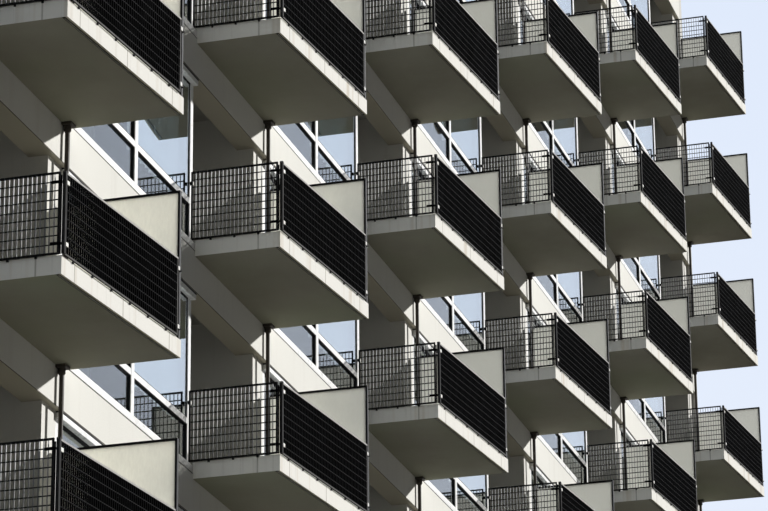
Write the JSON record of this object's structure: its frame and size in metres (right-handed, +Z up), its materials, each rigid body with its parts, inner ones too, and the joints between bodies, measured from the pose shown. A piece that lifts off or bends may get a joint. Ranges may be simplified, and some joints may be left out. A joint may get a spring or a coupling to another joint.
{
  "type": "apartment block, 1:2 scale model",
  "caption": "Slab apartment block at 1:2 scale with stacked wedge-shaped balconies, black grid railings, end screens and long window bands",
  "frame": {"origin": "middle of the footprint's bounding box, on the ground", "axes": "+X runs along the facade from the near end to the far end, the balconies face -Y, +Z is up"},
  "size_m": [21.25, 6.1764, 17.145],
  "materials": {
    "plinth_concrete": "rough grey concrete plinth",
    "floor_concrete": "plain concrete floor slabs",
    "roof_covering": "grey mineral roof covering on concrete",
    "render_white": "off-white painted render on concrete",
    "painted_concrete": "off-white painted concrete, lightly streaked",
    "balcony_concrete": "off-white painted concrete with dirt streaks",
    "loggia_render": "grey-beige render",
    "coping_metal": "dull folded aluminium sheet",
    "window_glass": "clear window glass",
    "railing_paint": "black paint on welded steel",
    "screen_board": "light grey-beige opaque board",
    "pipe_paint": "dark brown-grey pipe",
    "door_paint": "dark grey painted door leaf"
  },
  "bodies": {
    "root": {"ground_slab": "plinth_concrete", "floor_slab_level_1": "floor_concrete", "floor_slab_level_2": "floor_concrete", "floor_slab_level_3": "floor_concrete", "floor_slab_level_4": "floor_concrete", "floor_slab_level_5": "floor_concrete", "floor_slab_level_6": "floor_concrete", "floor_slab_level_7": "floor_concrete", "floor_slab_level_8": "floor_concrete", "floor_slab_level_9": "floor_concrete", "floor_slab_level_10": "floor_concrete", "floor_slab_level_11": "floor_concrete", "roof_slab": "roof_covering", "roof_parapet": "render_white", "parapet_coping": "coping_metal", "end_wall_near": "render_white", "end_wall_far": "render_white", "facade_piers": "painted_concrete", "facade_beams": "painted_concrete", "window_glass_front": "window_glass", "loggia_side_walls": "loggia_render", "loggia_back_walls": "loggia_render", "loggia_glass": "window_glass", "balcony_slabs_bay_1": "balcony_concrete", "balcony_slabs_bay_2": "balcony_concrete", "balcony_slabs_bay_3": "balcony_concrete", "balcony_slabs_bay_4": "balcony_concrete", "balcony_slabs_bay_5": "balcony_concrete", "balcony_slabs_bay_6": "balcony_concrete", "railings_bay_1": "railing_paint", "railings_bay_2": "railing_paint", "railings_bay_3": "railing_paint", "railings_bay_4": "railing_paint", "railings_bay_5": "railing_paint", "railings_bay_6": "railing_paint", "screen_frames": "railing_paint", "screen_panels": "screen_board", "downpipes": "pipe_paint", "rear_spandrels": "render_white", "rear_piers": "render_white", "rear_glass": "window_glass", "entrance_doors": "door_paint"}
  },
  "joints": []
}
